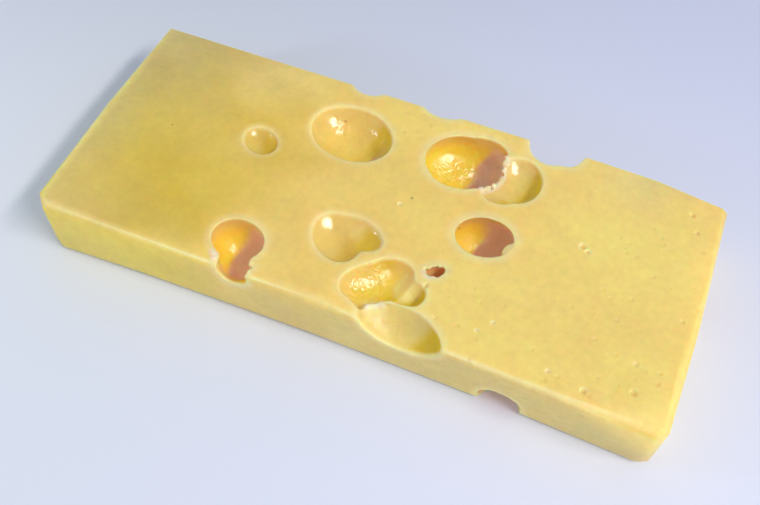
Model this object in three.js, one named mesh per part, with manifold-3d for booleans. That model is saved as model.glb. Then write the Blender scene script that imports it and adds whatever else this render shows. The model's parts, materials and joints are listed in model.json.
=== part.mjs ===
// A slab of holed cheese lying flat, as cut for the counter: one solid, its eyes open bubbles in it.
// Millimetres, +Z up. The origin is the middle of the underside, X runs along the slab's length
// and the long cut face with the broken eyes looks towards -Y.
import * as THREE from 'three';
import { mergeVertices } from 'three/addons/utils/BufferGeometryUtils.js';
import Module from 'manifold-3d';

// ---- The slab -----------------------------------------------------------------------------
const LENGTH = 201.4;
const THICKNESS = 23.2;       // at the middle of the length
const FRONT = -42.5;          // the two long sides, before they bow
const BACK = 43.2;
const TAPER = 0.75;           // thicker by this at the left end, thinner by it at the right end
const LEFT_BOW = 0.9;         // the left end stands out by this at its middle
const RIGHT_BOW = 0.7;        // and so does the right end
const FRONT_HOLLOW = 2.0;     // the long front edge falls in by this at its middle
const BACK_FALL = 3.4;        // the back edge falls away by this at the right end
const BACK_FALL_FROM = 60;    // starting at this distance along
const FRONT_LEAN = 1.0;       // the front face's top stands forward of its foot by this, mid-length
const FRONT_LEAN_GAIN = 1.1;  // and by this more at the right end, less at the left end
const CORNERS = { frontLeft: 6, frontRight: 5, backRight: 2.4, backLeft: 2.4 };
const LEAST_CORNER = 0.6;     // the inset plan's corners stay at least this round
const SET_BACK = 0.55;        // brings the leaning slab's middle back over the origin
const EDGE_RADIUS = 2.6;      // all the long edges are softly rounded
const EDGE_STEPS = 4;
const OUTLINE_STEPS = 9;

const HALF_WIDTH = (BACK - FRONT) / 2;
const MIDDLE_Y = (BACK + FRONT) / 2;

// ---- The eyes -----------------------------------------------------------------------------
// Each eye is one egg-shaped bubble, or a few that have run together. x and y place a bubble,
// down is how far its middle lies below the top, radii are half its length, width and height,
// turn swings its length from X towards Y and tilt dips its far end, both in degrees.
const egg = (x, y, down, radii, turn = 0, tilt = 0) => ({ x, y, down, radii, turn, tilt });

const TOP_EYES = {
  small: [egg(-45.5, 7.45, -1.5, [6.7, 5.5, 5.4], -27)],
  broad: [egg(-19.6, 21.75, -3, [14.7, 11.5, 12.2], -9)],
  deep: [
    egg(17.7, 24.6, 4.8, [13.8, 12.3, 9.5], 11),
    egg(22.8, 32.1, 3, [8, 5.1, 9]),
    egg(21.5, 24.6, 8, [9.5, 10, 7.6]),
  ],
  shelf: [egg(35.6, 24.2, -2, [9.2, 9.7, 6.9], 8, 30), egg(32.3, 17, -1, [6.1, 4.4, 4])],
  round: [egg(33.8, -0.4, 5.4, [10.9, 8.8, 9], 8)],
  kidney: [egg(-7.3, -17.7, -2, [10.1, 7.7, 7.4], -44), egg(-2.1, -13.9, -1.5, [9.75, 5.7, 5.2], -15)],
  twin: [
    egg(9.7, -28.1, -1, [10.9, 6.9, 8.6], 30),
    egg(12.9, -23.2, -1, [7.1, 5.4, 7], 12),
    egg(21.2, -27.6, 0, [4, 4.4, 4.6]),
    egg(18.2, -29.3, 0.4, [3.6, 3, 4.4]),
    egg(7.6, -35.3, 1.5, [2.2, 2.8, 3], 20),
    egg(18, -33.7, 1.7, [4.6, 1, 1.1], -3),
  ],
  hidden: [egg(24.4, -17.6, 2.8, [4, 2.5, 3.4], 36), egg(24.2, -17.9, 0, [3.6, 2.1, 3], 36)],
  crack: [egg(23.7, -23.6, 0, [1.4, 0.5, 1.3], 78)],
};

// Eyes that the front face cuts open.
const FRONT_EYES = {
  corner: [
    egg(-34.4, -30.1, 3.6, [9, 7.6, 9.6], -7),
    egg(-33, -34.8, 6.5, [5.2, 5, 5.4]),
    egg(-31.1, -38.6, 2.3, [5.8, 5, 5.2]),
  ],
  scoop: [egg(22.8, -41.3, -0.4, [13.2, 8.8, 10], -14), egg(14, -38.5, -1.5, [6.5, 5.6, 4.6])],
  foot: [egg(54, -41, 19.4, [6.8, 6.6, 7])],
};

// Eyes that the back face cuts open; the first three notch the top edge.
const BACK_EYES = {
  notchLeft: [egg(-22.3, 43.8, 3, [6.2, 4.4, 9])],
  notchMiddle: [egg(4.4, 44.2, 4, [7.8, 4.9, 9.5])],
  notchRight: [egg(42.6, 42.8, 2.5, [8, 8.9, 9.5]), egg(48.3, 42.4, 2.5, [5.1, 7.2, 8])],
  backLeft: [egg(-62, 43.6, 12.8, [9, 6.5, 7])],
  backRight: [egg(77, 42.6, 13.6, [6.6, 5.6, 5.6])],
};

// Eyes of the two ends and the underside.
const END_EYES = {
  rightBig: [egg(100.4, 14, 13.6, [6.5, 8, 6.2])],
  rightSmall: [egg(100.2, -21, 11.6, [4, 5.2, 4.6])],
  leftBig: [egg(-100.9, -12, 12.8, [5.6, 7, 5.8])],
  leftSmall: [egg(-100.7, 22, 14.6, [3.6, 4.2, 3.8])],
};
const UNDERSIDE_EYES = {
  underLeft: [egg(-64, -10, 23.4, [11, 8.6, 8], 14)],
  underBackLeft: [egg(-74, 24, 23.6, [6, 5, 5])],
  underMiddle: [egg(-19, -4, 23.6, [8, 6.4, 6], 30)],
  underBack: [egg(1, 30, 23.8, [6, 6.6, 5])],
  underFront: [egg(32, -22, 23.4, [8.4, 6, 5.4], -10)],
  underRight: [egg(64, 15, 23, [12, 9.6, 8.6], -18)],
  underFrontRight: [egg(84, -21, 23.6, [7, 6, 5.6])],
};

// Pin-prick bubbles of the top face: place and radius.
const PITS = [
  { x: 62.2, y: 7.9, r: 1.3 }, { x: 64.1, y: 6.6, r: 1.1 }, { x: 90.1, y: 32.3, r: 1.1 },
  { x: 92.7, y: 26.1, r: 0.9 }, { x: 95.5, y: -6.4, r: 0.8 }, { x: 75.4, y: -38.2, r: 1.2 },
  { x: 88.1, y: -33.5, r: 1.2 }, { x: 64.7, y: -36.2, r: 0.9 }, { x: 5.7, y: 1.1, r: 0.9 },
  { x: 86.5, y: -24.7, r: 0.9 }, { x: 45.8, y: -27.7, r: 0.8 }, { x: 42.4, y: -31.7, r: 0.8 },
];
const PIT_RISE = 0.25;        // a pit's middle stands above the top face by this share of its radius

// Where a thin film between two eyes has torn, its lip is ragged: bites along a bent line, each
// end with its own depth below the top.
const TORN_LIPS = [
  { from: [29.5, 32.4], bend: [33.4, 25.4], to: [29.2, 20.4], down: [0.8, 2.6], bites: 6, size: 1.0 },
  { from: [29.4, 21], bend: [29.2, 17.6], to: [25.4, 17], down: [2.2, 0.4], bites: 4, size: 0.9 },
  { from: [-27.2, -35.4], bend: [-26.6, -38], to: [-26.6, -41], down: [0.6, 1.9], bites: 4, size: 0.6 },
  { from: [8, -35], bend: [10.2, -34.4], to: [14, -32.4], down: [1.6, 1.6], bites: 6, size: 0.8 },
];
const LESSER_BITE = 0.7;      // every other bite is smaller by this share

// A flap of torn film that hangs over the right rim of the round eye.
const FLAP = egg(42.2, -1.6, 1.1, [3.3, 1.9, 0.7], 71);

const FACET = 2.2;            // about how long the edges of an eye's facets are
const BALL_EDGE = 1.05;       // an icosahedron's edge, in radii of the ball round it

const wasm = await Module();
wasm.setup();

/** A closed geometry as a manifold solid. */
function toSolid(geometry) {
  const bare = geometry.clone();
  bare.deleteAttribute('normal');
  bare.deleteAttribute('uv');
  const merged = mergeVertices(bare, 1e-4);
  return new wasm.Manifold(new wasm.Mesh({
    numProp: 3,
    vertProperties: new Float32Array(merged.attributes.position.array),
    triVerts: new Uint32Array(merged.index.array),
  }));
}

/** A manifold solid as a flat-shaded geometry. */
function toGeometry(solid) {
  const mesh = solid.getMesh();
  const geometry = new THREE.BufferGeometry();
  geometry.setAttribute('position', new THREE.BufferAttribute(new Float32Array(mesh.vertProperties), 3));
  geometry.setIndex(new THREE.BufferAttribute(new Uint32Array(mesh.triVerts), 1));
  geometry.computeVertexNormals();
  return geometry;
}

/** The height of the top face over a place along the length. */
function topAt(x) {
  return THICKNESS - TAPER * x / (LENGTH / 2);
}

/** The slab's plan, less the edge radius: four rounded corners joined by slightly bowed sides. */
function slabOutline() {
  const right = LENGTH / 2 - RIGHT_BOW - EDGE_RADIUS;
  const left = -LENGTH / 2 + LEFT_BOW + EDGE_RADIUS;
  const back = BACK - EDGE_RADIUS;
  const backRightY = back - BACK_FALL;
  const front = FRONT + EDGE_RADIUS;
  const [frontLeft, frontRight, backRight, backLeft] = [
    CORNERS.frontLeft, CORNERS.frontRight, CORNERS.backRight, CORNERS.backLeft,
  ].map((radius) => Math.max(radius - EDGE_RADIUS, LEAST_CORNER));
  const outline = new THREE.Shape();
  outline.moveTo(left + frontLeft, front);
  outline.quadraticCurveTo(0, front + 2 * FRONT_HOLLOW, right - frontRight, front);
  outline.quadraticCurveTo(right, front, right, front + frontRight);
  outline.quadraticCurveTo(right + 2 * RIGHT_BOW, 0, right, backRightY - backRight);
  outline.quadraticCurveTo(right, backRightY, right - backRight, backRightY);
  outline.quadraticCurveTo((BACK_FALL_FROM + right) / 2, back, BACK_FALL_FROM, back);
  outline.lineTo(left + backLeft, back);
  outline.quadraticCurveTo(left, back, left, back - backLeft);
  outline.quadraticCurveTo(left - 2 * LEFT_BOW, 0, left, front + frontLeft);
  outline.quadraticCurveTo(left, front, left + frontLeft, front);
  return outline;
}

/** The slab before it has any eyes: a rounded bar, thinner to the right, its front leaning out. */
function slab() {
  const geometry = new THREE.ExtrudeGeometry(slabOutline(), {
    depth: THICKNESS - 2 * EDGE_RADIUS,
    curveSegments: OUTLINE_STEPS,
    bevelThickness: EDGE_RADIUS,
    bevelSize: EDGE_RADIUS,
    bevelSegments: EDGE_STEPS,
  });
  geometry.translate(0, 0, EDGE_RADIUS);
  const place = geometry.attributes.position;
  for (let i = 0; i < place.count; i += 1) {
    const x = place.getX(i);
    const y = place.getY(i);
    const rise = place.getZ(i) / THICKNESS;
    const lean = FRONT_LEAN + FRONT_LEAN_GAIN * x / (LENGTH / 2);
    const towardsFront = Math.max(0, (MIDDLE_Y - y) / HALF_WIDTH);
    place.setY(i, y - lean * rise * towardsFront);
    place.setZ(i, rise * topAt(x));
  }
  return toSolid(geometry);
}

/** One bubble as a solid, in place; a bigger one is split into more facets. */
function bubble({ x, y, down, radii, turn, tilt }) {
  const meanRadius = (radii[0] + radii[1] + radii[2]) / 3;
  const splits = Math.round(BALL_EDGE * meanRadius / FACET) - 1;
  const ball = new THREE.IcosahedronGeometry(1, Math.max(1, splits));
  ball.scale(...radii);
  ball.rotateY(THREE.MathUtils.degToRad(tilt));
  ball.rotateZ(THREE.MathUtils.degToRad(turn));
  ball.translate(x, y, topAt(x) - down);
  return toSolid(ball);
}

/** A pin-prick bubble that just opens the top face. */
function pit({ x, y, r }) {
  const ball = new THREE.IcosahedronGeometry(r, 0);
  ball.translate(x, y, topAt(x) + r * PIT_RISE);
  return toSolid(ball);
}

/** The bites along one torn lip, strung on a bent line, every other one smaller. */
function bitesAlong({ from, bend, to, down, bites, size }) {
  const line = new THREE.QuadraticBezierCurve(
    new THREE.Vector2(...from), new THREE.Vector2(...bend), new THREE.Vector2(...to));
  const balls = [];
  for (let i = 0; i < bites; i += 1) {
    const along = (i + 0.5) / bites;
    const spot = line.getPoint(along);
    const ball = new THREE.IcosahedronGeometry(i % 2 ? size * LESSER_BITE : size, 0);
    ball.translate(spot.x, spot.y, topAt(spot.x) - THREE.MathUtils.lerp(down[0], down[1], along));
    balls.push(toSolid(ball));
  }
  return balls;
}

/** The whole slab with every eye, pit and torn lip taken out of it and the flap put on. */
function cheeseSolid() {
  const eyes = [TOP_EYES, FRONT_EYES, BACK_EYES, END_EYES, UNDERSIDE_EYES].flatMap(Object.values);
  const hollows = [
    ...eyes.flat().map(bubble),
    ...PITS.map(pit),
    ...TORN_LIPS.flatMap(bitesAlong),
  ];
  return hollows.reduce((body, hollow) => body.subtract(hollow), slab()).add(bubble(FLAP));
}

const cheese = new THREE.Mesh(
  toGeometry(cheeseSolid()),
  new THREE.MeshStandardMaterial({ color: 0xdcc067, roughness: 0.42, metalness: 0 }),
);
cheese.name = 'cheese';
cheese.position.y = SET_BACK;

const part = new THREE.Group();
part.add(cheese);

export default part;
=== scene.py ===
# %% [markdown]
# # A slab of holed cheese
# This lesson makes one thing: a flat slab cut from a wheel of large-eyed cheese. The slab is a
# rounded bar about 200 mm long. Its eyes are gas bubbles that the knife has opened, so they are
# smooth egg-shaped hollows. Some run into each other, and some are broken through at an edge.
# The measured slab comes first. Everything made later has to fill the same box.

# %% Load the measured slab
import json
from math import cos, radians, sin

import bpy
import numpy as np
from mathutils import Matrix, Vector
from mathutils.bvhtree import BVHTree
from mathutils.kdtree import KDTree

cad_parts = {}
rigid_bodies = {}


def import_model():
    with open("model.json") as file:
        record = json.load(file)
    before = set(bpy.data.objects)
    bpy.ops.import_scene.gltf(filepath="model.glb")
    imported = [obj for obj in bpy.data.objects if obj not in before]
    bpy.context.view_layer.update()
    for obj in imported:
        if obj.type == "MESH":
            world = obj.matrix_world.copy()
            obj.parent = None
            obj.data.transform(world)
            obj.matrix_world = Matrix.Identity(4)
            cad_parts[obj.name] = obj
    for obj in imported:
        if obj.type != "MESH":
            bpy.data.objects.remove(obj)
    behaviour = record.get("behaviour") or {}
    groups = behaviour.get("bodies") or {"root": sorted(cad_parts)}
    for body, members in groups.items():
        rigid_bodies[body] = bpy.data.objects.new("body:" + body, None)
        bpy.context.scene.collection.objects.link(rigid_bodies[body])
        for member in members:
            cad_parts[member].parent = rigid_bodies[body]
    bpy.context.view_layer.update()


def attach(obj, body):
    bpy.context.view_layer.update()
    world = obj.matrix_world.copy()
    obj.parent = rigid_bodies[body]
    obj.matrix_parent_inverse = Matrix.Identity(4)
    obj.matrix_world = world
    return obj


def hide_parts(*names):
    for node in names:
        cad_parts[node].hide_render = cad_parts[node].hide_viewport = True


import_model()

MM = 0.001

# %% [markdown]
# ## The sizes
# All the sizes are in millimetres, as a cheesemonger would measure them, and MM turns them into
# metres. X runs along the slab, the face with the broken eyes looks towards -Y, and the underside
# is at zero.

# %% Sizes of the slab
LENGTH, THICKNESS = 201.4, 23.2
FRONT, BACK = -42.5, 43.2         # the long sides, before they bow
TAPER = 0.75                      # thicker by this at the left end, thinner at the right
LEFT_BOW, RIGHT_BOW = 0.9, 0.7
FRONT_HOLLOW = 2.0
BACK_FALL, BACK_FALL_FROM = 3.4, 60.0   # the back edge falls away over the right end
FRONT_LEAN, FRONT_LEAN_GAIN = 1.0, 1.1
SET_BACK = 0.55                   # brings the leaning slab's middle back over the origin
EDGE_RADIUS = 2.6
CORNERS = {(-1, -1): 6.0, (1, -1): 5.0, (1, 1): 2.4, (-1, 1): 2.4}   # by side: left or right, front or back


def top_at(x):
    """Height of the top face over a place along the length."""
    return THICKNESS - TAPER * x / (LENGTH / 2)


def deselect():
    """Nothing is selected or active afterwards, so that the next operator acts on the new piece alone."""
    bpy.ops.object.select_all(action="DESELECT")
    bpy.context.view_layer.objects.active = None


def take(piece):
    """Selects one piece alone and makes it active."""
    deselect()
    piece.select_set(True)
    bpy.context.view_layer.objects.active = piece
    return piece


def apply_modifier(piece, kind, name, **settings):
    """Adds a modifier, sets it and applies it."""
    take(piece)
    modifier = piece.modifiers.new(name, kind)
    for key, value in settings.items():
        setattr(modifier, key, value)
    bpy.ops.object.modifier_apply(modifier=name)


# %% [markdown]
# ## The slab without its eyes
# A knife leaves flat faces, but a slab that has lain a while has soft, slightly bowed edges. A grid
# is extruded into a bar, so that it already has the divisions that a bend needs. Its upright corners
# are bevelled, then the edges all round its top and its underside, and a lattice bows the sides
# afterwards. The lattice moves everything smoothly, which pushing single points about would not.

# %% The bar with its rounded corners
GRID_X, GRID_Y = 20, 8            # divisions along the slab and across it
BEVEL_STEPS = 6
SAME_PLACE = 1e-5                 # metres
SHARP = radians(60)               # an edge that turns by more than this gets a bevel
deselect()
left, right = -LENGTH / 2 + LEFT_BOW, LENGTH / 2 - RIGHT_BOW
middle = ((left + right) / 2 * MM, (FRONT + BACK) / 2 * MM, 0)
bpy.ops.mesh.primitive_grid_add(x_subdivisions=GRID_X, y_subdivisions=GRID_Y, size=1, location=middle)
cheese = bpy.context.object
cheese.name = "cheese_body"
bpy.ops.transform.resize(value=((right - left) * MM, (BACK - FRONT) * MM, 1))
bpy.ops.object.transform_apply(location=True, rotation=True, scale=True)
bpy.ops.object.mode_set(mode="EDIT")
bpy.ops.mesh.select_all(action="SELECT")
bpy.ops.mesh.extrude_region_move(TRANSFORM_OT_translate={"value": (0, 0, THICKNESS * MM)})
bpy.ops.mesh.select_all(action="SELECT")
bpy.ops.mesh.normals_make_consistent(inside=False)
bpy.ops.object.mode_set(mode="OBJECT")


def select_edges(piece, wanted):
    """Selects the edges whose two ends both pass a test on their place."""
    mesh = piece.data
    for vertex in mesh.vertices:
        vertex.select = False
    for face in mesh.polygons:
        face.select = False
    for edge in mesh.edges:
        first, second = (mesh.vertices[i].co for i in edge.vertices)
        edge.select = wanted(first, second)


for (side_x, side_y), radius in CORNERS.items():
    corner = Vector((right if side_x > 0 else left, BACK if side_y > 0 else FRONT)) * MM
    select_edges(cheese, lambda a, b: all((end.xy - corner).length < SAME_PLACE for end in (a, b)))
    take(cheese)
    bpy.ops.object.mode_set(mode="EDIT")
    bpy.ops.mesh.select_mode(type="EDGE")
    bpy.ops.mesh.bevel(offset=radius * MM, segments=BEVEL_STEPS, affect="EDGES")
    bpy.ops.object.mode_set(mode="OBJECT")

take(cheese)
bpy.ops.object.mode_set(mode="EDIT")
bpy.ops.mesh.select_all(action="DESELECT")
bpy.ops.mesh.edges_select_sharp(sharpness=SHARP)
bpy.ops.mesh.bevel(offset=EDGE_RADIUS * MM, segments=BEVEL_STEPS, affect="EDGES")
bpy.ops.object.mode_set(mode="OBJECT")
print("the bar has", len(cheese.data.polygons), "faces")

# %% The lattice that bows its sides
LATTICE_X, LATTICE_Y = 9, 5       # points of the lattice along the slab and across it
WIDTH = BACK - FRONT
bpy.ops.object.add(type="LATTICE", location=(0, (FRONT + BACK) / 2 * MM, THICKNESS / 2 * MM))
cage = bpy.context.object
cage.data.points_u, cage.data.points_v, cage.data.points_w = LATTICE_X, LATTICE_Y, 2
for axis in "uvw":
    setattr(cage.data, "interpolation_type_" + axis, "KEY_CATMULL_ROM" if axis != "w" else "KEY_LINEAR")
cage.scale = (LENGTH * MM, WIDTH * MM, THICKNESS * MM)
for point in cage.data.points:
    across, deep, high = (2 * c for c in point.co)         # -1 to 1 from side to side
    along = across * LENGTH / 2
    rise = (high + 1) / 2
    bow_x = (RIGHT_BOW if across > 0 else LEFT_BOW) * across * (1 - deep ** 2)
    hollow_y = FRONT_HOLLOW * max(0, -deep) * (1 - across ** 2)
    past = max(0, (along - BACK_FALL_FROM) / (LENGTH / 2 - BACK_FALL_FROM))
    fall_y = BACK_FALL * max(0, deep) * past ** 2
    lean = (FRONT_LEAN + FRONT_LEAN_GAIN * across) * rise * max(0, -deep)
    lift = rise * (top_at(along) - THICKNESS)
    shift = (bow_x / LENGTH, (hollow_y - fall_y - lean) / WIDTH, lift / THICKNESS)
    point.co_deform = [old + more for old, more in zip(point.co, shift)]
bpy.context.view_layer.update()
apply_modifier(cheese, "LATTICE", "bow", object=cage)
bpy.data.objects.remove(cage)
uncut = cheese.data
uncut_skin = BVHTree.FromPolygons(
    [vertex.co.copy() for vertex in uncut.vertices], [tuple(face.vertices) for face in uncut.polygons]
)
print("the bowed bar spans", [round(size / MM, 1) for size in cheese.dimensions])

# %% [markdown]
# ## The eyes
# Each eye is one egg-shaped ball taken out of the slab, or a few that have run together. x and y
# place a ball, down is how far its middle lies below the top face (above it when negative, as in
# an eye cut above its middle), and length, width and height are its half sizes. turn swings its
# length round and tilt dips the far end.

# %% Places and sizes of the eyes
def egg(x, y, down, length, width, height, turn=0, tilt=0):
    """One ball of an eye, in millimetres and degrees."""
    return dict(place=(x, y, top_at(x) - down), radii=(length, width, height), turn=turn, tilt=tilt)


EYES = {
    "small": [egg(-45.5, 7.45, -1.5, 6.7, 5.5, 5.4, turn=-27)],
    "broad": [egg(-19.6, 21.75, -3, 14.7, 11.5, 12.2, turn=-9)],
    "deep": [
        egg(17.7, 24.6, 4.8, 13.8, 12.3, 9.5, turn=11), egg(22.8, 32.1, 3, 8, 5.1, 9),
        egg(21.5, 24.6, 8, 9.5, 10, 7.6),
    ],
    "shelf": [egg(35.6, 24.2, -2, 9.2, 9.7, 6.9, turn=8, tilt=30), egg(32.3, 17, -1, 6.1, 4.4, 4)],
    "round": [egg(33.8, -0.4, 5.4, 10.9, 8.8, 9, turn=8)],
    "kidney": [
        egg(-7.3, -17.7, -2, 10.1, 7.7, 7.4, turn=-44), egg(-2.1, -13.9, -1.5, 9.75, 5.7, 5.2, turn=-15),
    ],
    "twin": [
        egg(9.7, -28.1, -1, 10.9, 6.9, 8.6, turn=30), egg(12.9, -23.2, -1, 7.1, 5.4, 7, turn=12),
        egg(21.2, -27.6, 0, 4.0, 4.4, 4.6), egg(18.2, -29.3, 0.4, 3.6, 3, 4.4),
        egg(7.6, -35.3, 1.5, 2.2, 2.8, 3, turn=20),
    ],
    "hidden": [egg(24.4, -17.6, 2.8, 4.0, 2.5, 3.4, turn=36), egg(24.2, -17.9, 0, 3.6, 2.1, 3, turn=36)],
    "crack": [egg(23.7, -23.6, 0, 1.4, 0.5, 1.3, turn=78)],
    "corner": [
        egg(-34.4, -30.1, 3.6, 9.0, 7.6, 9.6, turn=-7), egg(-33.0, -34.8, 6.5, 5.2, 5, 5.4),
        egg(-31.1, -38.6, 2.3, 5.8, 5, 5.2),
    ],
    "scoop": [egg(22.8, -41.3, -0.4, 13.2, 8.8, 10, turn=-14), egg(14, -38.5, -1.5, 6.5, 5.6, 4.6)],
    "foot": [egg(54, -41, 19.4, 6.8, 6.6, 7)],
    "notch_left": [egg(-22.3, 43.8, 3, 6.2, 4.4, 9)],
    "notch_middle": [egg(4.4, 44.2, 4, 7.8, 4.9, 9.5)],
    "notch_right": [egg(42.6, 42.8, 2.5, 8, 8.9, 9.5), egg(48.3, 42.4, 2.5, 5.1, 7.2, 8)],
    "back_left": [egg(-62, 43.6, 12.8, 9, 6.5, 7)],
    "back_right": [egg(77, 42.6, 13.6, 6.6, 5.6, 5.6)],
    "right_big": [egg(100.4, 14, 13.6, 6.5, 8, 6.2)],
    "right_small": [egg(100.2, -21, 11.6, 4, 5.2, 4.6)],
    "left_big": [egg(-100.9, -12, 12.8, 5.6, 7, 5.8)],
    "left_small": [egg(-100.7, 22, 14.6, 3.6, 4.2, 3.8)],
    "under_left": [egg(-64, -10, 23.4, 11, 8.6, 8, turn=14)],
    "under_back_left": [egg(-74, 24, 23.6, 6, 5, 5)],
    "under_middle": [egg(-19, -4, 23.6, 8, 6.4, 6, turn=30)],
    "under_back": [egg(1, 30, 23.8, 6, 6.6, 5)],
    "under_front": [egg(32, -22, 23.4, 8.4, 6, 5.4, turn=-10)],
    "under_right": [egg(64, 15, 23, 12, 9.6, 8.6, turn=-18)],
    "under_front_right": [egg(84, -21, 23.6, 7, 6, 5.6)],
}
print(len(EYES), "eyes of", sum(len(eggs) for eggs in EYES.values()), "balls")

# %% [markdown]
# Where bubbles have run together the crest between them has melted away, so the balls of such an
# eye are joined, remeshed into one skin and smoothed before the eye is taken out of the slab.

# %% A ball for each eye
BALL_SPLITS = 5                   # how often the ball's 20 triangles are split for more
SMOOTH_STEP = 0.5                 # a pass moves each point half way to the middle of its neighbours
MELT_VOXEL, MELT_PASSES = 0.6, 20
hollows = bpy.data.collections.new("hollows")
lumps = bpy.data.collections.new("lumps")
for holder in (hollows, lumps):
    bpy.context.scene.collection.children.link(holder)


def ball(name, place, radii, turn=0.0, tilt=0.0, splits=BALL_SPLITS, holder=hollows):
    """An egg-shaped ball in one of the two collections."""
    deselect()
    bpy.ops.mesh.primitive_ico_sphere_add(subdivisions=splits, radius=MM)
    made = bpy.context.object
    made.name = name
    made.scale = radii
    made.rotation_euler = (0, radians(tilt), radians(turn))
    made.location = [c * MM for c in place]
    bpy.ops.object.transform_apply(location=True, rotation=True, scale=True)
    for old_holder in list(made.users_collection):
        old_holder.objects.unlink(made)
    holder.objects.link(made)
    return made


for name, eggs in EYES.items():
    balls = [ball(f"{name}_{number}", **shape) for number, shape in enumerate(eggs)]
    if len(balls) > 1:
        deselect()
        for piece in balls:
            piece.select_set(True)
        bpy.context.view_layer.objects.active = balls[0]
        bpy.ops.object.join()
        apply_modifier(balls[0], "REMESH", "one_skin", mode="VOXEL", voxel_size=MELT_VOXEL * MM)
        apply_modifier(balls[0], "SMOOTH", "melt", factor=SMOOTH_STEP, iterations=MELT_PASSES)

# %% Take the eyes out of the slab
def cut_or_join(name, operation, holder):
    """One boolean with all the balls of a collection, which are removed afterwards."""
    apply_modifier(cheese, "BOOLEAN", name, operation=operation, operand_type="COLLECTION",
                   collection=holder, solver="MANIFOLD")
    for piece in list(holder.objects):
        bpy.data.objects.remove(piece)


cut_or_join("eyes", "DIFFERENCE", hollows)
print("cut:", len(cheese.data.vertices), "vertices")

# %% [markdown]
# ## Torn lips
# Where two eyes almost meet, the film of cheese between them is thin and tears as the knife passes.
# Its lip is ragged. Small balls of uneven size are strung along it: some are bites that come out,
# and some are knobs of torn cheese that stay on. Each ball is first moved to the nearest place on
# the cut surface, so that no knob hangs free and every bite takes something away.

# %% Where the torn lips run
def lip(start, bend, end, down, count, size, pale):
    """A torn lip's curve, how far below the top face it lies at three places, and its balls."""
    return dict(curve=(start, bend, end), down=down, count=count, size=size, pale=pale)


TORN_LIPS = [
    lip((29.5, 32.4), (33.4, 25.4), (29.2, 20.4), down=(0.8, 2.6, 2.6), count=13, size=1.05, pale=1),
    lip((29.4, 21.0), (29.2, 17.6), (25.4, 17.0), down=(2.2, 1.2, 0.4), count=8, size=0.95, pale=1),
    lip((-27.2, -35.4), (-26.6, -38), (-26.6, -41), down=(0.6, 0.9, 1.9), count=8, size=0.95, pale=0.2),
    lip((8.0, -35.0), (10.2, -34.4), (14.0, -32.4), down=(1.6, 3, 1.6), count=11, size=0.85, pale=1),
    lip((-39.4, -36.6), (-38.8, -38), (-37.6, -39.2), down=(0.4, 0.6, 1.0), count=5, size=0.65, pale=0.8),
    lip((21.4, -18.9), (22.2, -21.4), (26.0, -19.4), down=(0.4, 0.4, 0.4), count=8, size=0.8, pale=0.7),
    lip((21.2, -18.6), (23.0, -14.9), (27.2, -16.2), down=(0.4, 0.4, 0.4), count=8, size=0.7, pale=0.3),
]
print(len(TORN_LIPS), "torn lips")

# %% Bites and knobs along each torn lip
SPREAD = 0.42                     # how far a ball strays from its lip, as a rule
LEAST, MOST = 0.5, 1.35           # a ball's half sizes, as shares of the lip's size
TILT_MOST = 40
SMALL_SPLITS, TEAR_SPLITS = 3, 2  # small balls need fewer triangles than an eye does
chance = np.random.default_rng(7)
cut_skin = BVHTree.FromObject(cheese, bpy.context.evaluated_depsgraph_get())
torn_spots, torn_pale = [], []


def on_curve(along, values):
    """A value between the three of a curve's start, bend and end."""
    shares = ((1 - along) ** 2, 2 * along * (1 - along), along ** 2)
    return sum(share * np.array(value) for share, value in zip(shares, values))


for number, torn_lip in enumerate(TORN_LIPS):
    for place in range(torn_lip["count"]):
        along = (place + 0.5) / torn_lip["count"]
        x, y = on_curve(along, torn_lip["curve"]) + chance.normal(0, SPREAD, 2)
        down = on_curve(along, torn_lip["down"])
        spot = cut_skin.find_nearest(Vector((x, y, top_at(x) - down)) * MM)[0] / MM
        torn_spots.append(spot)
        torn_pale.append(torn_lip["pale"])
        radii = torn_lip["size"] * chance.uniform(LEAST, MOST, 3)
        turn, tilt = chance.uniform(0, 180), chance.uniform(-TILT_MOST, TILT_MOST)
        holder = hollows if place % 2 else lumps
        ball(f"tear_{number}_{place}", spot, radii, turn, tilt, TEAR_SPLITS, holder)

# %% [markdown]
# Two larger shapes go with them. A flap of film hangs on the right rim of the round eye, and the
# lip between the twin eye and the scoop is cut away a little more.

# %% The flap and the undercut
FLAP, UNDERCUT = (42.2, -1.6, top_at(42) - 1.1), (18.0, -33.7, top_at(18) - 1.7)
ball("flap", FLAP, (3.3, 1.9, 0.7), turn=71, splits=SMALL_SPLITS, holder=lumps)
ball("undercut", UNDERCUT, (4.6, 1.0, 1.1), turn=-3, splits=SMALL_SPLITS)

# %% [markdown]
# ## Pinholes
# Here and there a tiny bubble just breaks the surface. A ball whose middle stands a little above
# the top face leaves such a pinhole. Its rim stays crisp and a little pale, like a torn lip.

# %% Pinholes in the top face
PINHOLES = [                      # each one's x, y and radius
    (62.2, 7.9, 1.3), (64.1, 6.6, 1.1), (90.1, 32.3, 1.1), (92.7, 26.1, 0.9), (95.5, -6.4, 0.8),
    (75.4, -38.2, 1.2), (88.1, -33.5, 1.2), (64.7, -36.2, 0.9), (5.7, 1.1, 0.9), (86.5, -24.7, 0.9),
    (45.8, -27.7, 0.8), (42.4, -31.7, 0.8),
]
PIN_RISE, PIN_PALE = 0.25, 0.3    # a pinhole's rise as a share of its radius, and its rim's paleness
for number, (x, y, radius) in enumerate(PINHOLES):
    ball(f"pinhole_{number}", (x, y, top_at(x) + PIN_RISE * radius), (radius,) * 3, splits=SMALL_SPLITS)
    torn_spots.append((x, y, top_at(x)))
    torn_pale.append(PIN_PALE)
cut_or_join("bites", "DIFFERENCE", hollows)
cut_or_join("knobs", "UNION", lumps)
for holder in (hollows, lumps):
    bpy.data.collections.remove(holder)

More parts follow.
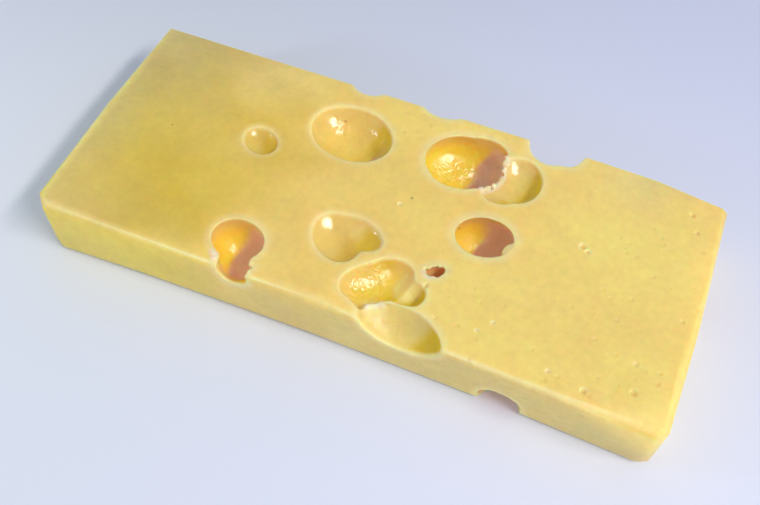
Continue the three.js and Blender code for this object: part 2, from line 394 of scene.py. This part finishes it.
# %% [markdown]
# ## Soft rims and crisp tears
# Cheese has no sharp edge where an eye meets the knife's cut: the rim slumps a little as it dries.
# The whole piece is remeshed into an even skin and smoothed. The torn lips stay crisp, so each
# point's share of the smoothing grows with its distance from them.

# %% Soften every rim, but not the torn lips
VOXEL = 0.34
CRISP_REACH, CRISP_FADE = 1.0, 1.6     # no smoothing this near a tear, and all of it this much further
RIM_PASSES = 6


def places_of(piece):
    """The places of all the points of a mesh, in millimetres."""
    places = np.empty(len(piece.data.vertices) * 3)
    piece.data.vertices.foreach_get("co", places)
    return places.reshape(-1, 3) / MM


def tree_of(places):
    """A search tree of places."""
    tree = KDTree(len(places))
    for index, place in enumerate(places):
        tree.insert(place, index)
    tree.balance()
    return tree


def smooth(piece, shares, passes):
    """Smooths a mesh, each point by its own share from 0 to 1."""
    group = piece.vertex_groups.new(name="share")
    group.add(np.flatnonzero(shares >= 1).tolist(), 1.0, "REPLACE")
    for index in np.flatnonzero((shares > 0) & (shares < 1)).tolist():
        group.add([index], float(shares[index]), "REPLACE")
    apply_modifier(piece, "SMOOTH", "smooth", factor=SMOOTH_STEP, iterations=passes, vertex_group="share")
    piece.vertex_groups.remove(piece.vertex_groups["share"])


apply_modifier(cheese, "REMESH", "even_skin", mode="VOXEL", voxel_size=VOXEL * MM)
tears = tree_of(torn_spots)
distances = np.array([tears.find(place)[2] for place in places_of(cheese)])
smooth(cheese, np.clip((distances - CRISP_REACH) / CRISP_FADE, 0, 1), RIM_PASSES)
print("skin:", len(cheese.data.vertices), "vertices")

# %% [markdown]
# Some rims are softer than others, where the cheese has sunk over the edge of an eye. They get
# more passes of the same smoothing, weighted by how near they are to a few chosen spots.

# %% Softer rims here and there
SOFT_SPOTS = [                    # each one's x, y, reach and passes
    (-30, 30, 11, 30), (-12, -9, 9, 20), (-15, -13, 7, 30), (12, -17.5, 7, 20), (9.5, -41, 8, 30),
    (-46, 11, 6, 20),
]
for x, y, reach, passes in SOFT_SPOTS:
    distances = np.linalg.norm(places_of(cheese) - (x, y, top_at(x)), axis=1)
    smooth(cheese, np.clip(2 - 2 * distances / reach, 0, 1), passes)    # in full within half the reach

# %% [markdown]
# ## How deep, how near a rim
# The finish differs inside the eyes and along their rims. So each point needs to know how far it
# lies below the uncut skin, and how far a point of the skin is from the nearest rim.

# %% Measure the depth of every point and its distance from a rim
INSIDE_FROM, RIM_REACH = 1.0, 6.0      # an eye starts at this depth, and no gap counts as more than this


def depth_and_gap(piece):
    """Two numbers a point, in millimetres: depth below the uncut skin, and distance from a rim."""
    places = places_of(piece)
    depths = np.array([uncut_skin.find_nearest(place * MM)[3] for place in places]) / MM
    inside = depths > INSIDE_FROM
    rims = tree_of(places[inside])
    gaps = np.zeros(len(places))
    for index in np.flatnonzero(~inside):
        gaps[index] = min(RIM_REACH, rims.find(places[index])[2])
    return depths, gaps


depths, gaps = depth_and_gap(cheese)
print("deepest point", round(depths.max(), 1), "mm;", int((gaps == 0).sum()), "points lie inside the eyes")

# %% [markdown]
# The flat parts need few triangles, but the numbers of a point are blended across each triangle, so
# the triangles beside a rim or a tear have to stay small. A vertex group keeps the thinning away
# from them.

# %% Thin out the flat parts of the mesh
MOST_TRIANGLES = 190000
KEPT_GAP, THIN_INSIDE = 3.2, 0.12      # thinned in full beyond this gap, and by this share inside an eye


def triangles_of(piece):
    """How many triangles the faces of a piece come to."""
    return sum(len(face.vertices) - 2 for face in piece.data.polygons)


triangles = triangles_of(cheese)
from_tears = np.array([tears.find(place)[2] for place in places_of(cheese)])
flat = np.flatnonzero((gaps > KEPT_GAP) & (from_tears > KEPT_GAP))
hollow = np.flatnonzero(gaps == 0)
print(triangles, "triangles;", len(flat), "flat points,", len(hollow), "points in hollows, of", len(gaps))
if triangles > MOST_TRIANGLES:
    group = cheese.vertex_groups.new(name="thin")
    group.add(flat.tolist(), 1.0, "REPLACE")
    group.add(hollow.tolist(), THIN_INSIDE, "REPLACE")
    apply_modifier(cheese, "DECIMATE", "thin_out", ratio=MOST_TRIANGLES / triangles, vertex_group="thin",
                   vertex_group_factor=1)
    cheese.vertex_groups.remove(cheese.vertex_groups["thin"])
take(cheese)
bpy.ops.object.shade_smooth()
print("thinned to", triangles_of(cheese), "triangles")

# %% [markdown]
# ## Numbers for the finish
# A finish can only vary by what it can read, so each point of the mesh is given some numbers. They
# say how near it is to a tear, how much it lies on a rounded edge or on the front face, and how far
# the wall of an eye turns away from the window, which sets its painted shade.

# %% Numbers that follow from a point's place and normal
TORN_REACH = 2.2
EDGE_TILT, EDGE_TILT_REACH = 0.72, 0.24       # a rounded edge is where the normal's height is near this
FRONT_FROM, FRONT_REACH = 0.5, 0.3
AWAY_FROM_WINDOW = (-0.92, 0.38, 0.1)
SKIN_DEPTH, SKIN_GAP = 0.5, 3                 # the skin is above this depth, and counts in full at this gap
depths, gaps = depth_and_gap(cheese)
places = places_of(cheese)
normals = np.empty(len(places) * 3)
cheese.data.vertex_normals.foreach_get("vector", normals)
normals = normals.reshape(-1, 3)
found = [tears.find(place) for place in places]
torn = np.array([max(0, 1 - gap / TORN_REACH) * torn_pale[index] for _, index, gap in found])
skin_only = (depths < SKIN_DEPTH) * np.clip(gaps / SKIN_GAP, 0, 1)
edge = np.clip(1 - np.abs(normals[:, 2] - EDGE_TILT) / EDGE_TILT_REACH, 0, 1) * skin_only
front = np.clip((-normals[:, 1] - FRONT_FROM) / FRONT_REACH, 0, 1) * skin_only
turned_from_window = normals @ AWAY_FROM_WINDOW
numbers = {"depth": depths, "rim_gap": gaps, "torn": torn, "edge": edge, "front": front, "turned_from_window": turned_from_window}
print("points on a rounded edge:", int((edge > 0).sum()), "and on the front:", int((front > 0).sum()))

# %% [markdown]
# No two eyes look quite alike. Some are paler, duller, glossier or more wrinkled than the rest, and
# parts of their walls are milky. The shaded walls of a few eyes get a richer painted shade, and two
# recesses a brown painted shade. The skin has patches that have dried. Each of these is marked by a
# place on the top face, a reach and a strength.

# %% Numbers that mark single eyes and patches
SPOTS = {                         # each spot's x, y, reach and strength
    "pale": [(20.5, -40.5, 17, 1.0), (37.5, 24, 11, 0.7)],
    "dull": [(-8, -18, 17, 0.7), (-20, 21, 24, 0.75), (-45.5, 7.4, 12, 0.8)],
    "rich_shade": [
        (6, -14.5, 9, 0.85), (-7, 26, 9, 0.8), (-41.5, 9.5, 5, 0.8), (24.8, -26.5, 6, 1.0),
        (35, -42.5, 10, 1.0),
    ],
    "dry": [(-60, -9, 24, 0.36), (-30, -32, 14, 0.3)],
    "recess_shade": [(24.3, -17.8, 7, 1.0), (54, -41, 13, 1.0)],
    "milky": [(18.5, -24, 5.5, 0.5), (11.5, -34, 5, 0.5)],
    "gloss": [
        (-45.5, 7.4, 13, 0.9), (-19.6, 21.7, 26, 0.9), (19, 25, 24, 0.85), (38, 24, 14, 0.8),
        (33.8, -0.4, 18, 0.25), (-7, -17, 20, 0.9), (6, -29, 9, 1.0), (12.5, -22, 9, 0.15),
        (-33.5, -31, 18, 0.5), (22.8, -41.3, 18, 0.1),
    ],
    "wrinkled": [(15.5, 22.5, 12, 1.0), (5.5, -26, 8, 0.8)],
}


def near_spots(spots):
    """A share for each point: a spot's strength within two thirds of its reach, and 0 beyond it."""
    share = np.zeros(len(places))
    for x, y, reach, strength in spots:
        away = np.linalg.norm(places[:, :2] - (x, y), axis=1)
        share = np.maximum(share, strength * np.clip(3 - 3 * away / reach, 0, 1))
    return share


for name, spots in SPOTS.items():
    numbers[name] = near_spots(spots)
    print(name, "points:", int((numbers[name] > 0).sum()))

# %% [markdown]
# A wall that the window can't reach gets only light that has come through the cheese or down from
# the room. Its colour is painted mauve there: painted shade. Such walls are found by looking from
# each point towards five places in the window. The share that can't be seen is then blurred over the
# neighbouring points.

# %% Walls that the window can't reach
WINDOW_AWAY, WINDOW_ROUND, WINDOW_UP = 1.93, radians(-13), radians(48)
WINDOW_WIDE, WINDOW_HIGH = 0.9, 0.16
WINDOW_PLACE = WINDOW_AWAY * Vector(
    (cos(WINDOW_UP) * cos(WINDOW_ROUND), cos(WINDOW_UP) * sin(WINDOW_ROUND), sin(WINDOW_UP))
)
WINDOW_SIDEWAYS = Vector((-sin(WINDOW_ROUND), cos(WINDOW_ROUND), 0))
LOOKS = np.linspace(-0.4, 0.4, 5) * WINDOW_WIDE     # the parts of the window that each point looks for
CLEAR_OF_SKIN, SHADE_BLUR = 0.4, 4                # millimetres, and passes of the blur
finished_skin = BVHTree.FromObject(cheese, bpy.context.evaluated_depsgraph_get())
shade_from_window = np.zeros(len(places))
for index in np.flatnonzero(gaps == 0):
    normal = Vector(normals[index])
    start = (Vector(places[index]) + normal * CLEAR_OF_SKIN) * MM
    for sideways in LOOKS:
        towards = (WINDOW_PLACE + WINDOW_SIDEWAYS * float(sideways) - start).normalized()
        hidden = normal.dot(towards) < 0 or finished_skin.ray_cast(start, towards)[0] is not None
        shade_from_window[index] += hidden / len(LOOKS)
ends = np.empty(len(cheese.data.edges) * 2, dtype=np.int32)
cheese.data.edges.foreach_get("vertices", ends)
ends = ends.reshape(-1, 2)
for _ in range(SHADE_BLUR):
    total, count = shade_from_window.copy(), np.ones(len(places))
    for one, other in (ends.T, ends.T[::-1]):
        np.add.at(total, one, shade_from_window[other])
        np.add.at(count, one, 1)
    shade_from_window = total / count
numbers["shade_from_window"] = shade_from_window
for name, values in numbers.items():
    carried = cheese.data.attributes.new(name, "FLOAT", "POINT")
    carried.data.foreach_set("value", values.astype(np.float32))
print("carried:", ", ".join(numbers), "- sheltered points:", int((shade_from_window > 0.5).sum()))

# %% Move it into place
take(cheese)
cheese.location.y = SET_BACK * MM
bpy.ops.object.transform_apply(location=True, rotation=False, scale=False)
print("finished skin:", triangles_of(cheese), "triangles")

# %% [markdown]
# ## A helper for materials
# The finishes are built from nodes in code. These few methods keep that short: each adds one node,
# links what goes in and returns what comes out, so that one line reads as one step of the recipe.

# %% A helper that adds nodes
COLOUR_A, COLOUR_B, COLOUR_OUT = 6, 7, 2      # the Mix node's sockets for colours


class Recipe:
    """Adds nodes to one material. Each method returns an output for the next one to take."""

    def __init__(self, name):
        self.material = bpy.data.materials.new(name)
        self.material.use_nodes = True
        self.tree = self.material.node_tree
        self.shader = self.tree.nodes["Principled BSDF"]
        self.place = self.add("ShaderNodeTexCoord").outputs["Object"]

    def add(self, kind, **settings):
        """A new node with its settings."""
        node = self.tree.nodes.new(kind)
        for key, value in settings.items():
            setattr(node, key, value)
        return node

    def feed(self, socket, value):
        """Links an output to a socket, or sets the socket to a plain number or colour."""
        if isinstance(value, bpy.types.NodeSocket):
            self.tree.links.new(value, socket)
        elif isinstance(value, tuple) and len(value) == 3 and socket.type == "RGBA":
            socket.default_value = (*value, 1)
        else:
            socket.default_value = value

    def number(self, name):
        """A number that the mesh carries on its points."""
        return self.add("ShaderNodeAttribute", attribute_name=name).outputs["Fac"]

    def noise(self, scale, detail=3.0, roughness=0.5, distortion=0.0):
        """Cloudy noise from 0 to 1; scale is in clouds a metre."""
        node = self.add("ShaderNodeTexNoise")
        for socket, value in (
            ("Vector", self.place), ("Scale", scale), ("Detail", detail), ("Roughness", roughness),
            ("Distortion", distortion),
        ):
            self.feed(node.inputs[socket], value)
        return node.outputs["Fac"]

    def cells(self, scale):
        """Scattered cells: a chance number for each cell, and the distance from its middle."""
        node = self.add("ShaderNodeTexVoronoi")
        self.feed(node.inputs["Vector"], self.place)
        self.feed(node.inputs["Scale"], scale)
        chances = self.add("ShaderNodeSeparateColor")
        self.feed(chances.inputs["Color"], node.outputs["Color"])
        return chances.outputs["Red"], node.outputs["Distance"]

    def ramp(self, value, start, end, low=0.0, high=1.0):
        """Rises smoothly from low to high while the value goes from start to end."""
        node = self.add("ShaderNodeMapRange", interpolation_type="SMOOTHSTEP")
        for socket, number in (
            ("Value", value), ("From Min", start), ("From Max", end), ("To Min", low), ("To Max", high),
        ):
            self.feed(node.inputs[socket], number)
        return node.outputs["Result"]

    def clouds(self, scale, sway, detail=3.0, roughness=0.5, middle=0.0):
        """Cloudy noise that goes no further than the sway to either side of its middle."""
        return self.ramp(self.noise(scale, detail, roughness), 0.3, 0.7, middle - sway, middle + sway)

    def math(self, operation, first, *others):
        """One kind of sum on two or more values."""
        for other in others:
            node = self.add("ShaderNodeMath", operation=operation)
            self.feed(node.inputs[0], first)
            self.feed(node.inputs[1], other)
            first = node.outputs["Value"]
        return first

    def blend(self, share, one, other, kind="MIX"):
        """Goes from one colour to another as the share goes from 0 to 1."""
        node = self.add("ShaderNodeMix", data_type="RGBA", blend_type=kind)
        self.feed(node.inputs["Factor"], share)
        self.feed(node.inputs[COLOUR_A], one)
        self.feed(node.inputs[COLOUR_B], other)
        return node.outputs[COLOUR_OUT]


# %% [markdown]
# ## The colour of the cheese
# The skin of the slab is a dull yellow, painted darker and browner towards the left end: painted
# shade, as that end lies furthest from the window. Inside an eye the surface has never met the knife.
# It is a richer yellow, and the deeper the eye, the more orange it is painted: painted light, for
# light that passes several times through the cheese before it comes out. The shallow eyes and the
# torn films stay pale.

# %% Colour of the skin
SHADED_LEFT_SKIN, MIDDLE_SKIN, RIGHT_SKIN = (0.70, 0.50, 0.045), (0.87, 0.65, 0.185), (0.92, 0.70, 0.215)
PAINTED_END_GLOW, DRY_SKIN = (1.0, 0.84, 0.10), (0.82, 0.64, 0.22)
PAINTED_LIGHT_FRONT_LEFT, FRONT_SHADE = (0.92, 0.73, 0.145), (0.88, 0.89, 0.99)
LEFT_TO_MIDDLE, MIDDLE_TO_RIGHT = (-0.1, -0.03), (-0.03, 0.06)     # where along the slab, in metres
TO_PAINTED_END_GLOW, TO_PAINTED_LIGHT_FRONT_LEFT, TO_FRONT_SHADE = (-0.0955, -0.0995), (-0.02, -0.07), (-0.04, 0.04)

holed = Recipe("holed_cheese")
split = holed.add("ShaderNodeSeparateXYZ")
holed.feed(split.inputs["Vector"], holed.place)
along = split.outputs["X"]
front = holed.number("front")

wandering = holed.math("ADD", along, holed.clouds(14, 0.035))
# Painted shade: the skin darkens towards the left end, away from the window.
skin = holed.blend(holed.ramp(wandering, *LEFT_TO_MIDDLE), SHADED_LEFT_SKIN, MIDDLE_SKIN)
skin = holed.blend(holed.ramp(wandering, *MIDDLE_TO_RIGHT), skin, RIGHT_SKIN)
# Painted light: a bright yellow band at the left end.
skin = holed.blend(holed.ramp(along, *TO_PAINTED_END_GLOW, 0.0, 0.7), skin, PAINTED_END_GLOW)
skin = holed.blend(holed.number("dry"), skin, DRY_SKIN)
# Painted light and shade on the front face: brighter towards the left end, darker towards the right.
front_left_light = holed.math("MULTIPLY", front, holed.ramp(along, *TO_PAINTED_LIGHT_FRONT_LEFT, 0.0, 0.8))
skin = holed.blend(front_left_light, skin, PAINTED_LIGHT_FRONT_LEFT)
shaded = holed.math("MULTIPLY", front, holed.ramp(along, *TO_FRONT_SHADE))
skin = holed.blend(shaded, skin, FRONT_SHADE, "MULTIPLY")

# %% Colour of the eyes
SHALLOW_EYE, SHALLOW_SHADED_WALL, DEEP_EYE = (0.84, 0.60, 0.16), (0.83, 0.55, 0.03), (1.0, 0.66, 0.065)
PALE_EYE, PALE_SHADED_WALL, RICH_SHADE_WALL = (0.83, 0.65, 0.215), (0.84, 0.60, 0.015), (0.79, 0.535, 0.016)
PAINTED_SHADE_MAUVE, RECESS_SHADE_BROWN, MILKY_FILM = (0.95, 0.61, 0.53), (0.86, 0.48, 0.19), (0.97, 0.82, 0.40)
TO_SHADED_WALL = (0.0, 0.45)         # how far a wall has to turn to the dark end to count as a far wall
TO_DEEP, TO_PAINTED_SHADE, TO_RICH_SHADE = (2.5, 8.0), (2.0, 5.5), (0.8, 2.0)   # depths, in millimetres

depth, pale = holed.number("depth"), holed.number("pale")
# Painted shade: walls turned away from the window get a more saturated, darker copy of the eye's colour.
shaded_wall = holed.ramp(holed.number("turned_from_window"), *TO_SHADED_WALL)
eye = holed.blend(shaded_wall, SHALLOW_EYE, SHALLOW_SHADED_WALL)
# Painted light: the deeper the eye, the more orange its colour, for light passing through the cheese.
eye = holed.blend(holed.ramp(depth, *TO_DEEP), eye, DEEP_EYE)
dull = holed.math("MULTIPLY", holed.number("dull"), holed.ramp(shaded_wall, 0.0, 1.0, 1.0, 0.35))
eye = holed.blend(dull, eye, skin)
eye = holed.blend(pale, eye, holed.blend(shaded_wall, PALE_EYE, PALE_SHADED_WALL))
# Painted shade: deep walls that the window can't reach are painted mauve.
painted_shade = holed.math(
    "MULTIPLY", holed.ramp(holed.number("shade_from_window"), 0.2, 0.95), holed.ramp(depth, *TO_PAINTED_SHADE),
    holed.ramp(pale, 0.0, 0.8, 1.0, 0.0), 0.85,
)
eye = holed.blend(painted_shade, eye, PAINTED_SHADE_MAUVE)
# Painted shade: the shaded walls of a few eyes are painted richer and darker.
rich_shade = holed.math("MULTIPLY", holed.number("rich_shade"), holed.ramp(depth, *TO_RICH_SHADE))
eye = holed.blend(rich_shade, eye, RICH_SHADE_WALL)
# Painted shade: the hidden hole and the cave at the foot are painted brown.
eye = holed.blend(holed.number("recess_shade"), eye, RECESS_SHADE_BROWN)
eye = holed.blend(holed.number("milky"), eye, MILKY_FILM)

# %% [markdown]
# Then come the small things. Rims are painted paler, rounded edges get a painted highlight as a
# pale stripe, torn film is almost white, and the whole is mottled. A few dark specks are scattered
# over it.

# %% Rims, edges, tears, mottling and specks
SOFT_RIM, PAINTED_EDGE_HIGHLIGHT, TORN_FILM = (0.89, 0.81, 0.48), (1.0, 0.92, 0.58), (0.90, 0.74, 0.58)
SPECK = (0.30, 0.17, 0.04)
INTO_EYE = (0.3, 1.6)                         # the depths between which the skin gives way to the eye
PAINTED_HIGHLIGHT_ENDS = (0.07, 0.098)                # where along the slab the line fades, in metres
RIM_WIDTH, RIM_SHARE, HIGHLIGHT_SHARE = 3.4, 0.52, 0.65
SPECKS_A_METRE, SPECKED_CELLS = 120, 0.90     # cells a metre, and the chance above which one has a speck

colour = holed.blend(holed.ramp(depth, *INTO_EYE), skin, eye)
# Painted highlight: a pale stripe along the rounded edges, fading out towards the right end.
edge_highlight = holed.math("MULTIPLY", holed.number("edge"), holed.ramp(along, *PAINTED_HIGHLIGHT_ENDS, HIGHLIGHT_SHARE, 0.0))
colour = holed.blend(edge_highlight, colour, PAINTED_EDGE_HIGHLIGHT)
near_rim = holed.ramp(holed.number("rim_gap"), 0.0, RIM_WIDTH, RIM_SHARE, 0.0)
rim = holed.math("MULTIPLY", near_rim, holed.ramp(depth, *INTO_EYE, 1.0, 0.0))
colour = holed.blend(rim, colour, SOFT_RIM)
colour = holed.blend(holed.ramp(holed.number("torn"), 0.15, 0.8, 0.0, 0.85), colour, TORN_FILM)
mottled = holed.add("ShaderNodeHueSaturation")
holed.feed(mottled.inputs["Color"], colour)
holed.feed(mottled.inputs["Hue"], holed.clouds(30, 0.0035, middle=0.5))
holed.feed(mottled.inputs["Value"], holed.math(
    "ADD", holed.clouds(450, 0.025, roughness=0.6), holed.clouds(150, 0.02, roughness=0.6),
    holed.clouds(48, 0.035, detail=4, roughness=0.6), 1.0,
))
chance_of_speck, from_middle = holed.cells(SPECKS_A_METRE)
speck = holed.math(
    "MULTIPLY", holed.ramp(chance_of_speck, SPECKED_CELLS, SPECKED_CELLS + 0.005),
    holed.ramp(from_middle, 0.03, 0.07, 0.65, 0.0),
)
colour = holed.blend(speck, mottled.outputs["Color"], SPECK)

# %% [markdown]
# ## The feel of the surface
# The skin is satin and finely grained, with patches of pinholes too small to model. The eyes are
# smooth and waxy: a coat gives them their highlights, which break up where the wall is wrinkled.
# Under it all, light goes a few millimetres into the cheese. Subsurface scattering is what makes
# it look like food instead of painted plaster.

# %% Gloss, scattering and bump
SCATTER, SCATTER_BY_COLOUR = 0.0042, (1.0, 0.45, 0.2)      # metres, and its share in red, green and blue
SKIN_ROUGHNESS, EYE_ROUGHNESS, COAT_ROUGHNESS = 0.55, 0.36, 0.13
BENDING, COAT_BENDING = 1.33, 1.38            # how strongly each layer bends light, and so reflects it
HAZE, HAZE_ROUGHNESS, HAZE_TINT = 0.07, 0.4, (0.7, 0.75, 1.0)
BUMP_HEIGHT, BUMP_STRENGTH = 0.0006, 0.6      # metres, and the share of it that is used
PITS_A_METRE = 320

gloss = holed.math("MULTIPLY", holed.number("gloss"), holed.ramp(depth, 0.6, 2.0))
roughness = holed.ramp(gloss, 0.0, 1.0, SKIN_ROUGHNESS, EYE_ROUGHNESS)
grain = holed.math("MULTIPLY", holed.noise(520, 3, 0.65), holed.ramp(depth, 0.3, 2.0, 0.5, 0.08))
ripple = holed.math("MULTIPLY", holed.noise(230, 2, 0.5, 0.6), holed.ramp(depth, 0.5, 3.0, 0.12, 1.4))
wrinkle = holed.math("MULTIPLY", holed.noise(330, 3, 0.55, 1.2), holed.number("wrinkled"), 2.8)
swell = holed.math("MULTIPLY", holed.noise(24, 2), 0.6)
chance_of_pit, from_pit = holed.cells(PITS_A_METRE)
pits = holed.math(
    "MULTIPLY", holed.ramp(chance_of_pit, 0.5, 0.6), holed.ramp(from_pit, 0.05, 0.35, 1.0, 0.0),
    holed.ramp(holed.noise(20, 2), 0.5, 0.6), holed.ramp(depth, 0.3, 1.0, -0.8, 0.0),
)
bump = holed.add("ShaderNodeBump")
bump.inputs["Strength"].default_value = BUMP_STRENGTH
bump.inputs["Distance"].default_value = BUMP_HEIGHT
holed.feed(bump.inputs["Height"], holed.math("ADD", grain, ripple, wrinkle, swell, pits))

for socket, value in (
    ("Base Color", colour), ("Normal", bump.outputs["Normal"]), ("Roughness", roughness), ("IOR", BENDING),
    ("Coat Weight", gloss), ("Coat Normal", bump.outputs["Normal"]), ("Coat Roughness", COAT_ROUGHNESS),
    ("Coat IOR", COAT_BENDING), ("Subsurface Weight", 1.0), ("Subsurface Scale", SCATTER),
    ("Subsurface Radius", SCATTER_BY_COLOUR), ("Sheen Weight", HAZE), ("Sheen Roughness", HAZE_ROUGHNESS),
    ("Sheen Tint", HAZE_TINT),
):
    holed.feed(holed.shader.inputs[socket], value)
cheese.data.materials.clear()
cheese.data.materials.append(holed.material)
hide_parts("cheese")
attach(cheese, "root")
print("the cheese's material has", len(holed.tree.nodes), "nodes")

# %% [markdown]
# ## The table it lies on
# The slab lies on plain pale card, with painted shade: a little darker on the side away from the
# window, and darker and bluer towards the back of the room.

# %% Card
SHADED_CARD_LEFT, CARD_RIGHT, SHADED_CARD_BACK = (0.69, 0.735, 0.795), (0.75, 0.785, 0.94), (0.77, 0.78, 0.83)
TO_CARD_RIGHT, TO_CARD_BACK = (-0.14, 0.10), (-0.05, 0.20)      # metres along the card and across it
CARD_SIZE, CARD_ROUGHNESS = 6, 0.7
deselect()
bpy.ops.mesh.primitive_plane_add(size=CARD_SIZE, location=(0, 0, 0))
card = bpy.context.object
card.name = "pale_card"
card_look = Recipe("pale_card")
split = card_look.add("ShaderNodeSeparateXYZ")
card_look.feed(split.inputs["Vector"], card_look.place)
tone = card_look.blend(card_look.ramp(split.outputs["X"], *TO_CARD_RIGHT), SHADED_CARD_LEFT, CARD_RIGHT)
tone = card_look.blend(card_look.ramp(split.outputs["Y"], *TO_CARD_BACK), tone, SHADED_CARD_BACK, "MULTIPLY")
card_look.feed(card_look.shader.inputs["Base Color"], tone)
card_look.feed(card_look.shader.inputs["Roughness"], CARD_ROUGHNESS)
card.data.materials.append(card_look.material)
print("the card's material has", len(card_look.tree.nodes), "nodes")

# %% [markdown]
# ## The light
# A window beyond the right end, a little to the front and 48 degrees up, lights the slab. It is wide
# along the slab's ends, so the end's shadow has a crisp edge, while the shadows inside the eyes fade
# out at their two tips. The round highlights in the eyes come from a disc that only shows in
# reflections. A small cool lamp opposite fills the near part of the shadow, and the room's soft
# light fills the rest.

# %% Window, highlights and room
WINDOW_WATTS, SHINE_WATTS, SPARKLE_WATTS, ROOM_STRENGTH = 22.2, 22.0, 0.26, 0.56
WINDOW_COLOUR, SHINE_COLOUR, COOL = (1.0, 0.95, 0.88), (1.0, 0.96, 0.87), (0.80, 0.86, 1.0)
SHINE_PLACE, SHINE_WIDE = (0.656, -0.349, 0.669), 0.62
SPARKLE_PLACE, SPARKLE_WIDE = (-0.34, -0.17, 0.14), 0.05


def lamp(name, place, energy, colour, wide, high=None):
    """A lamp that looks at the middle of the slab: a disc, or a rectangle if it has a height."""
    data = bpy.data.lights.new(name, "AREA")
    data.shape = "RECTANGLE" if high else "DISK"
    data.size, data.energy, data.color = wide, energy, colour
    if high:
        data.size_y = high
    made = bpy.data.objects.new(name, data)
    bpy.context.scene.collection.objects.link(made)
    made.location = place
    made.rotation_euler = (-Vector(place)).to_track_quat("-Z", "Y").to_euler()
    return made


window = lamp("window", WINDOW_PLACE, WINDOW_WATTS, WINDOW_COLOUR, WINDOW_WIDE, WINDOW_HIGH)
window.visible_glossy = False
shine = lamp("shine", SHINE_PLACE, SHINE_WATTS, SHINE_COLOUR, SHINE_WIDE)
shine.visible_diffuse = False
lamp("sparkle", SPARKLE_PLACE, SPARKLE_WATTS, COOL, SPARKLE_WIDE)
world = bpy.data.worlds.new("studio")
bpy.context.scene.world = world
world.use_nodes = True
room = world.node_tree.nodes["Background"]
room.inputs["Color"].default_value = (*COOL, 1)
room.inputs["Strength"].default_value = ROOM_STRENGTH
print("three lamps are hung, and the room's light has a strength of", ROOM_STRENGTH)

# %% [markdown]
# ## The camera
# The camera stands about 310 mm away, in front of the slab and over its right half, and looks down
# on it steeply. The Standard view keeps colours as the finishes and lamps make them.

# %% Camera
CAMERA_PLACE = Vector((67.8, -163.1 + SET_BACK, 254.35)) * MM
CAMERA_LOOK = Vector((-0.2174, 0.5189, -0.8268))
SENSOR, FOCAL = 36.0, 44.47
camera_data = bpy.data.cameras.new("camera")
camera_data.sensor_width = SENSOR
camera_data.lens = FOCAL
camera_data.clip_start = 0.01
camera = bpy.data.objects.new("camera", camera_data)
bpy.context.scene.collection.objects.link(camera)
camera.location = CAMERA_PLACE
camera.rotation_euler = CAMERA_LOOK.to_track_quat("-Z", "Y").to_euler()
bpy.context.scene.camera = camera
bpy.context.scene.view_settings.view_transform = "Standard"
print("the camera stands", round(CAMERA_PLACE.length / MM), "mm away")
